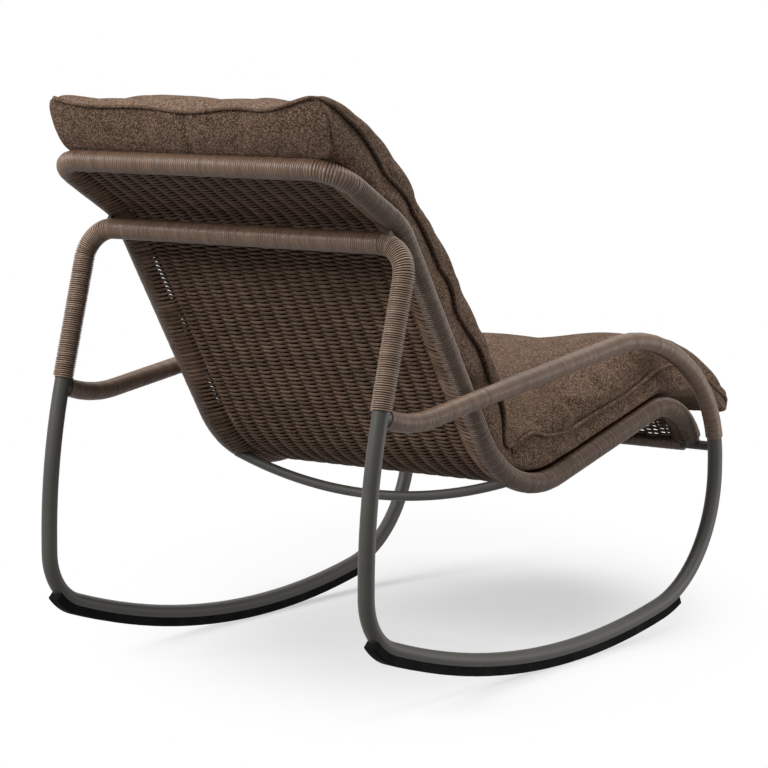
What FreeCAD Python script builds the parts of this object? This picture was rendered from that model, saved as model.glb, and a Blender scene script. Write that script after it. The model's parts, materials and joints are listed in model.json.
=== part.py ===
import FreeCAD, Part
import math
import os

Vector = FreeCAD.Vector

# Outdoor rocking chair, in millimetres. +Z is up, the chair faces -Y, and the sitter's left is +X.
# The paths are laid out from one point on the floor near the middle of the rockers. The whole chair is
# then moved along Y so that the origin is on the floor, under the middle of its overall length.

# Tubes and wicker
TUBE_R = 12.5
TUBE_WALL = 1.5
SLIM_R = 8.0
SLIM_WALL = 1.2
STRAND = 4.0
ARM_STRAND = 2.2
WRAP_GAP = 0.15
HALF_TRACK = 311.0
RAIL_HALF = 272.0

# Rocker, rear leg and front leg of one side frame; the frames spread a little towards the front
SPLAY = 0.62
ROCKER_R = 1467.5
CONTACT_Y = 11.0
STRIP_DEPTH = 10.0
STRIP_WIDTH = 20.0
STRIP_CHAMFER = 2.0
REAR_REACH = 538.0
REAR_BEND_R = 90.0
LEG_RISE = 15.0
LEG_BOW_R = 925.0
LEG_LEAN = 16.0
FRONT_REACH = 435.0
FRONT_BEND_R = 215.0
FRONT_RISE = 15.0
STRIP_REAR_TURN = 30.0
STRIP_FRONT_RUN = 50.0

# Rear hoop
CROSSBAR_Z = 690.0
HOOP_BEND_R = 50.0
LEG_WRAP_START = 6.0

# Arm, from the front leg over to the rear leg
ARM_FRONT_R = 188.0
ARM_FRONT_TURN = 48.3
ARM_TOP_R = 324.0
ARM_TOP_TURN = 49.0
ARM_RUN = 500.0
ARM_REAR_R = 240.0
ARM_REAR_TURN = 27.0
ARM_END_RUN = 15.0
ARM_WRAP_FRONT = 35.0
ARM_WRAP_REAR = 24.0
WELD_REACH = 60.0
WELD_GAP = 0.1

# Line of the seat frame, from the top rail down to the front bar
TOP_Y = 556.0
TOP_Z = 802.0
HEAD_SLOPE = 30.0
HEAD_RUN = 150.0
HEAD_BEND_R = 105.0
BACK_SLOPE = 58.0
BACK_RUN = 368.0
CREASE_R = 198.0
SEAT_SLOPE = 14.2
SEAT_RUN = 292.0
KNEE_R = 119.0
KNEE_TURN = 83.0
TOP_CORNER_R = 50.0
RAIL_WRAP_END = 13.0
FRONT_HALF = 322.0
FRONT_WRAP_HALF = 257.0

# Brace under the seat
BRACE_Y = 120.0
BRACE_END_Z = 299.0
BRACE_SAG = 45.0

# Tabs that weld the seat rails to the rear hoop
TAB_THICK = 6.0
TAB_HEIGHT = 20.0
TAB_BEND = 9.7
TAB_REACH = 37.0
TAB_CLEARANCE = 0.3

# Woven panel
WEAVE_THICK = 8.0
WEAVE_GAP = 0.3

# Screws that hold the rubber strips
SCREWS_PER_STRIP = 5
SCREW_R = 2.0
SCREW_HEAD_R = 4.0
SCREW_HEAD_DEPTH = 2.4
SCREW_SINK = 3.0
SCREW_TIP = 3.5
SCREW_HOLE_GAP = 0.1

# Lounge cushion: three stuffed pads that share one cover and meet at two sewn folds. Each row is a section
# across a pad: its distance along the seat line from the cushion's head end, the half width, the heights of
# the underside and of the top's edge over the rails' axis, and the rise of the crown over that edge.
PAD_OVERREACH = 76.0
FLAP_R = 245.0
FLAP_TURN = 58.0
PAD_FULL = 100.0
PAD_FOOT = 6.0
PAD_BULGE = 6.0
PAD_SHOULDER = 25.0
PAD_REST = 5.2
HEADREST_SECTIONS = (
    (0.0, 246, 66.0, 84, 2.5),
    (14.0, 254, 55.0, 91, 5),
    (40.0, 256, 38.0, 98, 8),
    (74.0, 256, 23.0, 104, 8),
    (100.0, 256, 13.5, 108, 8),
    (135.0, 256, 6.4, 110, 8),
    (174.0, 256, PAD_REST, 111, 7),
    (228.0, 256, PAD_REST, 104, 5),
    (253.0, 255, PAD_REST, 98, 4),
    (267.4, 253, PAD_REST, 88, 3),
)
BACK_SECTIONS = (
    (268.6, 253, PAD_REST, 88, 3),
    (284.0, 255, PAD_REST, 96, 5),
    (320.0, 256, PAD_REST, 101, 8),
    (400.0, 256, PAD_REST, 107, 9),
    (505.0, 256, PAD_REST, 116, 9),
    (570.0, 257, PAD_REST, 118, 8),
    (640.0, 257, PAD_REST, 113, 6),
    (680.0, 257, PAD_REST, 107, 5),
    (715.0, 257, PAD_REST, 99, 5),
    (745.0, 256, PAD_REST, 83, 4),
    (769.4, 253, PAD_REST, 54, 3),
)
SEAT_SECTIONS = (
    (770.6, 253, PAD_REST, 54, 3),
    (796.0, 256, PAD_REST, 80, 3),
    (832.0, 257, PAD_REST, 87, 3),
    (870.0, 257, PAD_REST, 89, 3),
    (910.0, 258, PAD_REST, 91, 3),
    (960.0, 258, PAD_REST, 92, 3),
    (1030.0, 259, PAD_REST, 95, 3),
    (1110.0, 259, PAD_REST, 97, 3),
    (1195.0, 259, PAD_REST, 98, 3),
    (1270.0, 259, 7.0, 97, 3),
    (1330.0, 259, 15.0, 93, 3),
    (1380.0, 259, 28.0, 86, 3),
    (1415.0, 257, 37.0, 80, 4),
    (1434.8, 250, 46.2, 74.2, 4),
)

ROCKER_BOTTOM = STRIP_DEPTH + TUBE_R
WRAP_R = TUBE_R + STRAND
SLIM_WRAP_R = SLIM_R + STRAND
ACROSS = Vector(1, 0, 0)
SIDES = {"left": 1, "right": -1}
OUT = "parts"


def heading_vector(degrees):
    """Direction in the Y-Z plane: 0 points along +Y and 90 points up."""
    angle = math.radians(degrees)
    return Vector(0, math.cos(angle), math.sin(angle))


class Route:
    """A line of straight runs and tangent bends, along which sections are swept."""

    def __init__(self, start, direction, across=ACROSS):
        self.start = Vector(start)
        self.direction = Vector(direction).normalize()
        self.across = across
        self.moves = []

    def run(self, length):
        """Go straight on."""
        self.moves.append(("run", length))
        return self

    def bend(self, radius, degrees, axis=None):
        """Turn about an axis, or else about the direction across the line, by the right-hand rule."""
        turn_axis = Vector(axis or self.across) * (1 if degrees > 0 else -1)
        self.moves.append(("bend", radius, abs(degrees), turn_axis))
        return self

    @staticmethod
    def length_of(move):
        """Length of one run or bend along the line."""
        return move[1] if move[0] == "run" else move[1] * math.radians(move[2])

    @staticmethod
    def shortened(move, length):
        """The first stretch of a move, of the given length."""
        if move[0] == "run":
            return ("run", length)
        return ("bend", move[1], math.degrees(length / move[1]), move[3])

    @staticmethod
    def step(point, direction, move):
        """Point and direction after one move, with a bend's centre."""
        if move[0] == "run":
            return point + direction * move[1], direction, None
        centre = point + move[3].cross(direction) * move[1]
        turn = FreeCAD.Rotation(move[3], move[2])
        return centre + turn.multVec(point - centre), turn.multVec(direction), centre

    def length(self):
        """Whole length of the line."""
        return sum(self.length_of(move) for move in self.moves)

    def at(self, distance):
        """Point and direction at a distance along the line."""
        point, direction = Vector(self.start), Vector(self.direction)
        for move in self.moves:
            span = self.length_of(move)
            if distance <= span:
                return self.step(point, direction, self.shortened(move, distance))[:2]
            point, direction, _ = self.step(point, direction, move)
            distance -= span
        return point, direction

    def part(self, first, last):
        """The stretch of the line between two distances along it."""
        piece = Route(*self.at(first), self.across)
        place = 0.0
        for move in self.moves:
            span = self.length_of(move)
            low = max(first - place, 0.0)
            high = min(last - place, span)
            if high - low > 1e-6:
                piece.moves.append(self.shortened(move, high - low))
            place += span
        return piece

    def sweep(self, face):
        """Carry a face, drawn at the start of the line, along it as one solid."""
        point, direction = Vector(self.start), Vector(self.direction)
        section = face
        solids = []
        for move in self.moves:
            after, heading, centre = self.step(point, direction, move)
            if centre is None:
                solids.append(section.extrude(after - point))
                section = section.translated(after - point)
            else:
                solids.append(section.revolve(centre, move[3], move[2]))
                section = section.rotated(centre, move[3], move[2])
            point, direction = after, heading
        if len(solids) == 1:
            return solids[0]
        return solids[0].multiFuse(solids[1:]).removeSplitter().Solids[0]

    def tube(self, outer, inner=0.0):
        """Round bar of this radius along the line, or a tube if it has an inner radius."""
        face = Part.Face(Part.Wire(Part.Circle(self.start, self.direction, outer).toShape()))
        if inner:
            face = face.cut(Part.Face(Part.Wire(Part.Circle(self.start, self.direction, inner).toShape())))
            face = face.Faces[0]
        return self.sweep(face)


def wrap_along(route, radius, first=0.0, last=0.0, strand=STRAND):
    """Wicker sleeve round a tube of this radius, short of the route's ends by the given lengths."""
    stretch = route.part(first, route.length() - last)
    return stretch.tube(radius + strand, radius + WRAP_GAP)


def side_route(side):
    """Rear leg, rocker and front leg, from the weld below the rear hoop to the weld below the arm."""
    rear_span = REAR_REACH - CONTACT_Y - REAR_BEND_R
    front_span = FRONT_REACH + CONTACT_Y - FRONT_BEND_R
    rear_angle = math.degrees(math.asin(rear_span / (ROCKER_R - REAR_BEND_R)))
    front_angle = math.degrees(math.asin(front_span / (ROCKER_R - FRONT_BEND_R)))
    rear_cosine = math.cos(math.radians(rear_angle))
    foot_z = ROCKER_BOTTOM + ROCKER_R * (1 - rear_cosine) + REAR_BEND_R * rear_cosine
    lean = math.radians(LEG_LEAN)
    weld_y = REAR_REACH - LEG_BOW_R * (1 - math.cos(lean))
    weld_z = foot_z + LEG_RISE + LEG_BOW_R * math.sin(lean)
    spread = FreeCAD.Rotation(Vector(0, 0, 1), side * SPLAY)
    downward = spread.multVec(heading_vector(LEG_LEAN - 90))
    route = Route((side * HALF_TRACK, weld_y, weld_z), downward, spread.multVec(ACROSS))
    route.bend(LEG_BOW_R, -LEG_LEAN).run(LEG_RISE)
    route.bend(REAR_BEND_R, rear_angle - 90)
    route.bend(ROCKER_R, -rear_angle - front_angle)
    route.bend(FRONT_BEND_R, front_angle - 90).run(FRONT_RISE)
    return route


def arm_route(side):
    """Arm, from the top of the front leg, up, back and down to the axis of the rear leg."""
    front_leg = side_route(side)
    route = Route(*front_leg.at(front_leg.length()), front_leg.across)
    route.bend(ARM_FRONT_R, -ARM_FRONT_TURN).bend(ARM_TOP_R, -ARM_TOP_TURN).run(ARM_RUN)
    route.bend(ARM_REAR_R, ARM_REAR_TURN).run(ARM_END_RUN)
    return route


def hoop_route():
    """Rear hoop, up the left leg, across the crossbar and down the right leg."""
    weld = side_route(1).start
    up = heading_vector(90 + LEG_LEAN)
    leg_length = (CROSSBAR_Z - weld.z) / up.z - HOOP_BEND_R
    bend_axis = up.cross(Vector(-1, 0, 0))
    route = Route(weld, up)
    route.run(leg_length).bend(HOOP_BEND_R, 90, bend_axis)
    route.run(2 * (HALF_TRACK - HOOP_BEND_R))
    route.bend(HOOP_BEND_R, 90, bend_axis).run(leg_length)
    return route


def lounge_route(x):
    """Line of the seat frame at one distance from the middle, from above the top rail to the front bar."""
    uphill = heading_vector(HEAD_SLOPE)
    start = Vector(x, TOP_Y, TOP_Z) + uphill * PAD_OVERREACH
    route = Route(start, uphill * -1)
    route.run(PAD_OVERREACH + HEAD_RUN).bend(HEAD_BEND_R, BACK_SLOPE - HEAD_SLOPE)
    route.run(BACK_RUN).bend(CREASE_R, -BACK_SLOPE - SEAT_SLOPE)
    route.run(SEAT_RUN).bend(KNEE_R, KNEE_TURN)
    return route


def lounge_marks():
    """Distances along the seat frame's line: where each run and bend of it ends."""
    marks = {}
    place = 0.0
    names = ("head_end", "head_bend_end", "back_end", "crease_end", "seat_end", "front_bar")
    for name, move in zip(names, lounge_route(0).moves):
        place += Route.length_of(move)
        marks[name] = place
    return marks


def front_bar_point(x):
    """Centre of the front bar at one distance from the middle."""
    route = lounge_route(x)
    return route.at(route.length())[0]


def rail_route(side):
    """Side rail of the seat frame, from the end of its top corner to the front bar."""
    route = lounge_route(side * RAIL_HALF)
    return route.part(PAD_OVERREACH + TOP_CORNER_R, route.length())


def top_rail_route():
    """Top rail with its two corners, from the left side rail to the right one."""
    start, down = rail_route(1).at(0)
    up = down * -1
    corner_axis = up.cross(Vector(-1, 0, 0))
    route = Route(start, up)
    route.bend(TOP_CORNER_R, 90, corner_axis).run(2 * (RAIL_HALF - TOP_CORNER_R))
    route.bend(TOP_CORNER_R, 90, corner_axis)
    return route


def brace_route():
    """Brace, bowed down between the two side rails."""
    radius = (RAIL_HALF ** 2 + BRACE_SAG ** 2) / (2 * BRACE_SAG)
    half_turn = math.degrees(math.asin(RAIL_HALF / radius))
    tilt = math.radians(half_turn)
    route = Route((RAIL_HALF, BRACE_Y, BRACE_END_Z), (-math.cos(tilt), 0, -math.sin(tilt)))
    route.bend(radius, 2 * half_turn, Vector(0, 1, 0))
    return route


def tab_box(side, grow):
    """Flat tab from the bend of a seat rail to the axis of the rear hoop, square to the rail."""
    rail = lounge_route(side * RAIL_HALF)
    foot, direction = rail.at(lounge_marks()["head_end"] + HEAD_BEND_R * math.radians(TAB_BEND))
    outward = ACROSS.cross(direction)
    thick, height = TAB_THICK + 2 * grow, TAB_HEIGHT + 2 * grow
    box = Part.makeBox(thick, TAB_REACH, height, Vector(-thick / 2, 0, -height / 2))
    turn = FreeCAD.Rotation(ACROSS, math.degrees(math.atan2(outward.z, outward.y)))
    box.Placement = FreeCAD.Placement(foot, turn)
    return box


def rod_across(point, radius):
    """Solid rod along X, from side frame to side frame, through a point."""
    start = Vector(-FRONT_HALF, point.y, point.z)
    return Route(start, ACROSS).run(2 * FRONT_HALF).tube(radius)


def screw_places(side):
    """Points on the tube's axis above each strip screw, with the direction down to the floor."""
    route = strip_route(side)
    reach = route.length()
    places = []
    for number in range(SCREWS_PER_STRIP):
        point, direction = route.at(reach * (number + 0.5) / SCREWS_PER_STRIP)
        places.append((point, route.across.cross(direction)))
    return places


def strip_route(side):
    """Stretch of the rocker tube's axis that the rubber strip lies under."""
    route = side_route(side)
    spans = [Route.length_of(move) for move in route.moves]
    rear_bend_end = sum(spans[:3])
    first = rear_bend_end - REAR_BEND_R * math.radians(STRIP_REAR_TURN)
    last = rear_bend_end + spans[3] + STRIP_FRONT_RUN
    return route.part(first, last)


def strip_face(route):
    """Section of a rubber strip: hollow on top to seat the tube, and flat below."""
    down = route.across.cross(route.direction)
    half = STRIP_WIDTH / 2
    seat = math.sqrt(TUBE_R ** 2 - half ** 2)
    foot = TUBE_R + STRIP_DEPTH

    def place(across, below):
        return route.start + route.across * across + down * below

    outline = [place(half, seat), place(half, foot - STRIP_CHAMFER), place(half - STRIP_CHAMFER, foot),
               place(STRIP_CHAMFER - half, foot), place(-half, foot - STRIP_CHAMFER), place(-half, seat)]
    edges = [Part.LineSegment(a, b).toShape() for a, b in zip(outline, outline[1:])]
    edges.append(Part.Arc(outline[-1], place(0, TUBE_R), outline[0]).toShape())
    return Part.Face(Part.Wire(edges))


def screw(point, down, gap=0.0):
    """Countersunk screw, driven up through a strip into the tube's lower wall."""
    foot = TUBE_R + STRIP_DEPTH - SCREW_SINK
    shank_start = TUBE_R - SCREW_TIP - gap
    shank = Part.makeCylinder(SCREW_R + gap, foot - shank_start, point + down * shank_start, down)
    cone_top = foot - SCREW_HEAD_DEPTH
    head = Part.makeCone(SCREW_R + gap, SCREW_HEAD_R + gap, SCREW_HEAD_DEPTH, point + down * cone_top, down)
    return shank.fuse(head).removeSplitter().Solids[0]


def screw_well(point, down):
    """Open well below a screw's head, out to the strip's underside."""
    foot = TUBE_R + STRIP_DEPTH - SCREW_SINK
    return Part.makeCylinder(SCREW_HEAD_R + SCREW_HOLE_GAP, SCREW_SINK + 1, point + down * foot, down)


def side_frame_parts(name, side):
    """Bare tube of one side frame, with its rubber strip and the strip's screws."""
    holes = [screw(point, down, SCREW_HOLE_GAP) for point, down in screw_places(side)]
    wells = [screw_well(point, down) for point, down in screw_places(side)]
    tube = side_route(side).tube(TUBE_R, TUBE_R - TUBE_WALL)
    route = strip_route(side)
    strip = route.sweep(strip_face(route))
    screws = [screw(point, down) for point, down in screw_places(side)]
    return {
        f"{name}_rocker_tube": tube.cut(holes),
        f"{name}_rocker_strip": strip.cut(holes + wells),
        f"{name}_strip_screws": Part.makeCompound(screws),
    }


def arm_parts(name, side):
    """Arm tube, shaped at its end to the two tubes that meet on the rear leg, and its wicker sleeve."""
    route = arm_route(side)
    hoop = hoop_route()
    upper = hoop.part(0, WELD_REACH) if side > 0 else hoop.part(hoop.length() - WELD_REACH, hoop.length())
    lower = side_route(side).part(0, WELD_REACH)
    tube = route.tube(TUBE_R, TUBE_R - TUBE_WALL)
    for leg in (lower, upper):
        tube = max(tube.cut(leg.tube(TUBE_R + WELD_GAP)).Solids, key=lambda solid: solid.Volume)
    return {
        f"{name}_arm_tube": tube,
        f"{name}_arm_wrap": wrap_along(route, TUBE_R, ARM_WRAP_FRONT, ARM_WRAP_REAR, ARM_STRAND),
    }


def hoop_parts():
    """Rear hoop tube, with sleeves on its two legs and on its crossbar, let in round the tabs."""
    route = hoop_route()
    leg_end = sum(Route.length_of(move) for move in route.moves[:2])
    whole = route.length()
    tabs = [tab_box(side, TAB_CLEARANCE) for side in SIDES.values()]
    sleeves = {
        "left_leg_wrap": route.part(LEG_WRAP_START, leg_end),
        "rear_crossbar_wrap": route.part(leg_end, whole - leg_end),
        "right_leg_wrap": route.part(whole - leg_end, whole - LEG_WRAP_START),
    }
    parts = {"rear_hoop_tube": route.tube(TUBE_R, TUBE_R - TUBE_WALL)}
    for name, stretch in sleeves.items():
        parts[name] = wrap_along(stretch, TUBE_R).cut(tabs)
    return parts


def seat_frame_parts():
    """Tubes of the seat frame, their wicker sleeves, the front bar, the brace and the tabs."""
    bar_point = front_bar_point(0)
    bar_rod = rod_across(bar_point, SLIM_R)
    brace_rod = brace_route().tube(SLIM_R)
    brace_hole = brace_route().tube(SLIM_R + TAB_CLEARANCE)
    tab_holes = [tab_box(side, TAB_CLEARANCE) for side in SIDES.values()]
    top = top_rail_route()
    parts = {
        "top_rail_tube": top.tube(TUBE_R, TUBE_R - TUBE_WALL),
        "top_rail_wrap": wrap_along(top, TUBE_R),
    }
    rail_rods = []
    for name, side in SIDES.items():
        route = rail_route(side)
        rail_rods.append(route.tube(TUBE_R))
        tube = route.tube(TUBE_R, TUBE_R - TUBE_WALL).cut(bar_rod)
        sleeve = wrap_along(route, TUBE_R, 0, RAIL_WRAP_END)
        parts[f"{name}_seat_rail"] = max(tube.Solids, key=lambda solid: solid.Volume)
        parts[f"{name}_rail_wrap"] = sleeve.cut(tab_holes + [brace_hole])
    brace = brace_rod.cut(brace_route().tube(SLIM_R - SLIM_WALL)).cut(rail_rods)
    parts["seat_brace"] = max(brace.Solids, key=lambda solid: solid.Volume)
    legs = [arm_route(side).tube(TUBE_R) for side in SIDES.values()]
    bar = bar_rod.cut(rod_across(bar_point, SLIM_R - SLIM_WALL)).cut(legs)
    parts["front_bar"] = max(bar.Solids, key=lambda solid: solid.Volume)
    bar_span = Route(Vector(-FRONT_WRAP_HALF, bar_point.y, bar_point.z), ACROSS).run(2 * FRONT_WRAP_HALF)
    parts["front_bar_wrap"] = wrap_along(bar_span, SLIM_R)
    hoop_rod = hoop_route().tube(TUBE_R)
    for name, side in SIDES.items():
        tab = tab_box(side, 0).cut(rail_rods + [hoop_rod])
        middle = tab_box(side, 0).CenterOfMass
        parts[f"{name}_back_tab"] = min(tab.Solids, key=lambda solid: (solid.CenterOfMass - middle).Length)
    return parts


def weave_parts():
    """Woven panel between the side rails, in the stretches that its bends divide it into."""
    marks = lounge_marks()
    half = RAIL_HALF - WRAP_R - WEAVE_GAP
    route = lounge_route(0)
    head_middle = (marks["head_end"] + marks["head_bend_end"]) / 2
    stretches = {
        "headrest_weave": (PAD_OVERREACH, head_middle),
        "back_weave": (head_middle, marks["back_end"]),
        "crease_weave": (marks["back_end"], marks["crease_end"]),
        "seat_weave": (marks["crease_end"], marks["seat_end"]),
        "knee_weave": (marks["seat_end"], marks["front_bar"] - SLIM_WRAP_R - WEAVE_GAP),
    }
    parts = {}
    for name, (first, last) in stretches.items():
        stretch = route.part(first, last)
        normal = ACROSS.cross(stretch.direction)
        corners = [stretch.start + ACROSS * (half * u) + normal * (WEAVE_THICK / 2 * v)
                   for u, v in ((-1, -1), (1, -1), (1, 1), (-1, 1), (-1, -1))]
        parts[name] = stretch.sweep(Part.Face(Part.makePolygon(corners)))
    top_rod = top_rail_route().tube(WRAP_R + WEAVE_GAP)
    parts["headrest_weave"] = max(parts["headrest_weave"].cut(top_rod).Solids, key=lambda solid: solid.Volume)
    return parts


def pad_section(route, distance, half, under, top, crown):
    """Closed section of a pad: flat below, sides that swell and lean in to the shoulder, and a crowned top."""
    point, direction = route.at(distance)
    normal = direction.cross(ACROSS)
    share = (top - under) / PAD_FULL
    foot = half - PAD_FOOT * share
    widest = half + PAD_BULGE * share
    shoulder = half - PAD_SHOULDER * share
    middle = under + 0.42 * (top - under)

    def place(across, above):
        return point + ACROSS * across + normal * above

    edges = [
        Part.LineSegment(place(-foot, under), place(foot, under)).toShape(),
        Part.Arc(place(foot, under), place(widest, middle), place(shoulder, top)).toShape(),
        Part.Arc(place(shoulder, top), place(0, top + crown), place(-shoulder, top)).toShape(),
        Part.Arc(place(-shoulder, top), place(-widest, middle), place(-foot, under)).toShape(),
    ]
    return Part.Wire(edges)


def cushion_parts():
    """Headrest, back and seat pads of the lounge cushion, which meet at two sewn folds."""
    route = lounge_route(0).part(0, lounge_marks()["seat_end"]).bend(FLAP_R, FLAP_TURN)
    tables = {"headrest_pad": HEADREST_SECTIONS, "back_pad": BACK_SECTIONS, "seat_pad": SEAT_SECTIONS}
    return {name: Part.makeLoft([pad_section(route, *row) for row in rows], True) for name, rows in tables.items()}


def main():
    """Build every part, set the chair over its origin and write one file for each node."""
    os.makedirs(OUT, exist_ok=True)
    parts = {}
    for name, side in SIDES.items():
        parts.update(side_frame_parts(name, side))
        parts.update(arm_parts(name, side))
    parts.update(hoop_parts())
    parts.update(seat_frame_parts())
    parts.update(weave_parts())
    parts.update(cushion_parts())
    box = Part.makeCompound(list(parts.values())).optimalBoundingBox(False)
    to_origin = Vector(0, -(box.YMin + box.YMax) / 2, 0)
    for name, shape in parts.items():
        moved = shape.translated(to_origin)
        if not moved.isValid():
            print("not valid:", name)
        moved.exportStep(os.path.join(OUT, f"{name}.step"))
        print(name, len(moved.Solids), "solid,", round(moved.Volume / 1000, 1), "cm3")
    size = [round(length, 1) for length in (box.XLength, box.YLength, box.ZLength)]
    print("moved along Y by", round(to_origin.y, 2), "size", size)


main()
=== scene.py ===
"""Looks of an outdoor rocking chair: wound and woven wicker, a stuffed lounge cushion and painted tubes."""
import json
import logging
import math
from dataclasses import dataclass, field
from enum import Enum

import bpy
import numpy as np
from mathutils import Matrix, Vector


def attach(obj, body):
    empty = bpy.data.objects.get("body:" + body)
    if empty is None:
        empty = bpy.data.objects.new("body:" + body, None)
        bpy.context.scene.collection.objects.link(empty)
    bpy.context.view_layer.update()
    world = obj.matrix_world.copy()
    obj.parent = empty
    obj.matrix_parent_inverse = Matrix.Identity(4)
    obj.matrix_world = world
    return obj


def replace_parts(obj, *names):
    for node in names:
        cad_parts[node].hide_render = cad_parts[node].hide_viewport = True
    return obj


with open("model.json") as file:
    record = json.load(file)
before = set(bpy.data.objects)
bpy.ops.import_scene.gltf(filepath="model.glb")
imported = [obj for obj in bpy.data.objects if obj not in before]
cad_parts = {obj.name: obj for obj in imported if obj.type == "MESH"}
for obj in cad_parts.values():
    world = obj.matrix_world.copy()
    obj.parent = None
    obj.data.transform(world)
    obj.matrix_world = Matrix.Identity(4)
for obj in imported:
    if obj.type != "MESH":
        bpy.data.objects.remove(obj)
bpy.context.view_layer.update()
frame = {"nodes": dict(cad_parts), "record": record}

LOG = logging.getLogger("rocking_chair")
Array = np.ndarray
Pair = tuple[float, float]
Triple = tuple[float, float, float]
Span = tuple[float, float, float, float]
Table = tuple[tuple[float, ...], ...]
Material = bpy.types.Material
Piece = bpy.types.Object
Socket = bpy.types.NodeSocket

# The chair's lines are laid out in millimetres and are scaled to metres only when a mesh is made.
TO_METRES = 0.001
X_AXIS = np.array([1.0, 0.0, 0.0])
UP = np.array([0.0, 0.0, 1.0])


class Body(Enum):
    """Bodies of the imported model."""

    FRAME = "frame"
    CUSHION = "cushion"


class Slot(Enum):
    """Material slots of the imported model."""

    WICKER = "wicker"
    POWDER_COAT = "powder_coat"
    RUBBER = "rubber"
    SCREW = "screw"
    FABRIC = "cushion_fabric"


class Side(Enum):
    """The sitter's left and right, with the sign of X there."""

    LEFT = 1
    RIGHT = -1

    @property
    def word(self) -> str:
        """Name of the side as it is used in piece names."""
        return self.name.lower()


def heading(degrees: float) -> Array:
    """Direction in the Y-Z plane: 0 points along +Y and 90 points up."""
    return np.array([0.0, math.cos(math.radians(degrees)), math.sin(math.radians(degrees))])


def turned(vector: Array, axis: Array, angle: Array | float) -> Array:
    """Turn a vector about a unit axis by the right-hand rule, once for each angle in radians."""
    cosine, sine = np.cos(angle), np.sin(angle)
    return vector * cosine + np.cross(axis, vector) * sine + axis * (axis @ vector) * (1 - cosine)


def smooth_curve(knots: Table, places: Array) -> Array:
    """Curve through knots, as cubic pieces whose slope at a knot is that of the line between its neighbours.

    Args:
        knots: Rows of (place, value), in order of place.
        places: Places to read the curve at.

    Returns:
        The value at each place.
    """
    at, value = np.asarray(knots, float).T
    slope = np.gradient(value, at)
    index = np.clip(np.searchsorted(at, places) - 1, 0, len(at) - 2)
    span = at[index + 1] - at[index]
    t = np.clip((places - at[index]) / span, 0, 1)
    return (value[index] * (1 + 2 * t) * (1 - t) ** 2 + slope[index] * span * t * (1 - t) ** 2
            + value[index + 1] * t * t * (3 - 2 * t) + slope[index + 1] * span * t * t * (t - 1))


def smooth_step(low: float, high: float, places: Array) -> Array:
    """Rise from 0 at low to 1 at high with level ends."""
    t = np.clip((places - low) / (high - low), 0, 1)
    return t * t * (3 - 2 * t)


def smooth_band(span: Span, places: Array) -> Array:
    """Rise from 0 to 1 between the span's first two places and fall again between its last two."""
    return smooth_step(*span[:2], places) * (1 - smooth_step(*span[2:], places))


def linked(name: str, data: bpy.types.ID) -> Piece:
    """Add an object to the scene."""
    thing = bpy.data.objects.new(name, data)
    bpy.context.scene.collection.objects.link(thing)
    return thing


def report(piece: Piece) -> None:
    """Log a finished piece."""
    LOG.info("%s: %d faces", piece.name, len(piece.data.polygons))


@dataclass(frozen=True)
class Frames:
    """Points along a line, with the heading and the side direction at each."""

    points: Array
    heading: Array
    side: Array

    @property
    def up(self) -> Array:
        """Direction square to heading and side."""
        return np.cross(self.heading, self.side)


@dataclass
class Line:
    """A line of straight runs and tangent bends that is read as whole arrays."""

    start: Array
    heading: Array
    side: Array
    moves: list[tuple[float, float, Array]] = field(default_factory=list)

    def run(self, length: float) -> "Line":
        """Go straight on."""
        self.moves.append((length, 0.0, self.side))
        return self

    def bend(self, radius: float, degrees: float, axis: Array | None = None) -> "Line":
        """Turn about an axis, or else about the side direction."""
        turn_axis = (self.side if axis is None else axis) * math.copysign(1.0, degrees)
        self.moves.append((radius * math.radians(abs(degrees)), radius, turn_axis))
        return self

    def follow(self, moves: Table) -> "Line":
        """Add bends given as (radius, degrees), and runs given as (length, 0)."""
        for size, degrees in moves:
            if degrees:
                self.bend(size, degrees)
            else:
                self.run(size)
        return self

    @property
    def ends(self) -> Array:
        """Distance along the line at the end of each move."""
        return np.cumsum([move[0] for move in self.moves])

    @property
    def length(self) -> float:
        """Whole length of the line."""
        return float(self.ends[-1])

    def frames(self, places: Array) -> Frames:
        """Read the line at distances along it.

        A run goes straight on from the last point. In a bend, the point, the heading and the side direction
        turn together about the bend's centre, by the distance divided by the radius. The first and last
        moves also answer for distances beyond the line's ends.

        Args:
            places: Distances along the line, in an array of any shape.

        Returns:
            Points, headings and sides, with one more axis of length three.
        """
        flat = places.ravel()
        points, headings, sides = (np.empty((flat.size, 3)) for _ in range(3))
        point, direction, side = self.start, self.heading, self.side
        begun = 0.0
        for number, (length, radius, axis) in enumerate(self.moves):
            low = -np.inf if number == 0 else begun
            high = np.inf if number == len(self.moves) - 1 else begun + length
            inside = (flat >= low) & (flat < high)
            gone = (flat[inside] - begun)[:, None]
            if radius:
                arm = np.cross(axis, direction) * radius
                angle, whole = gone / radius, length / radius
                points[inside] = point + arm + turned(-arm, axis, angle)
                headings[inside] = turned(direction, axis, angle)
                sides[inside] = turned(side, axis, angle)
                point = point + arm + turned(-arm, axis, whole)
                direction, side = turned(direction, axis, whole), turned(side, axis, whole)
            else:
                points[inside] = point + gone * direction
                headings[inside], sides[inside] = direction, side
                point = point + length * direction
            begun += length
        return Frames(*(values.reshape(places.shape + (3,)) for values in (points, headings, sides)))

    def at(self, place: float) -> tuple[Array, Array, Array]:
        """Point, heading and side direction at one distance along the line."""
        frames = self.frames(np.array([place]))
        return frames.points[0], frames.heading[0], frames.side[0]


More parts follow.
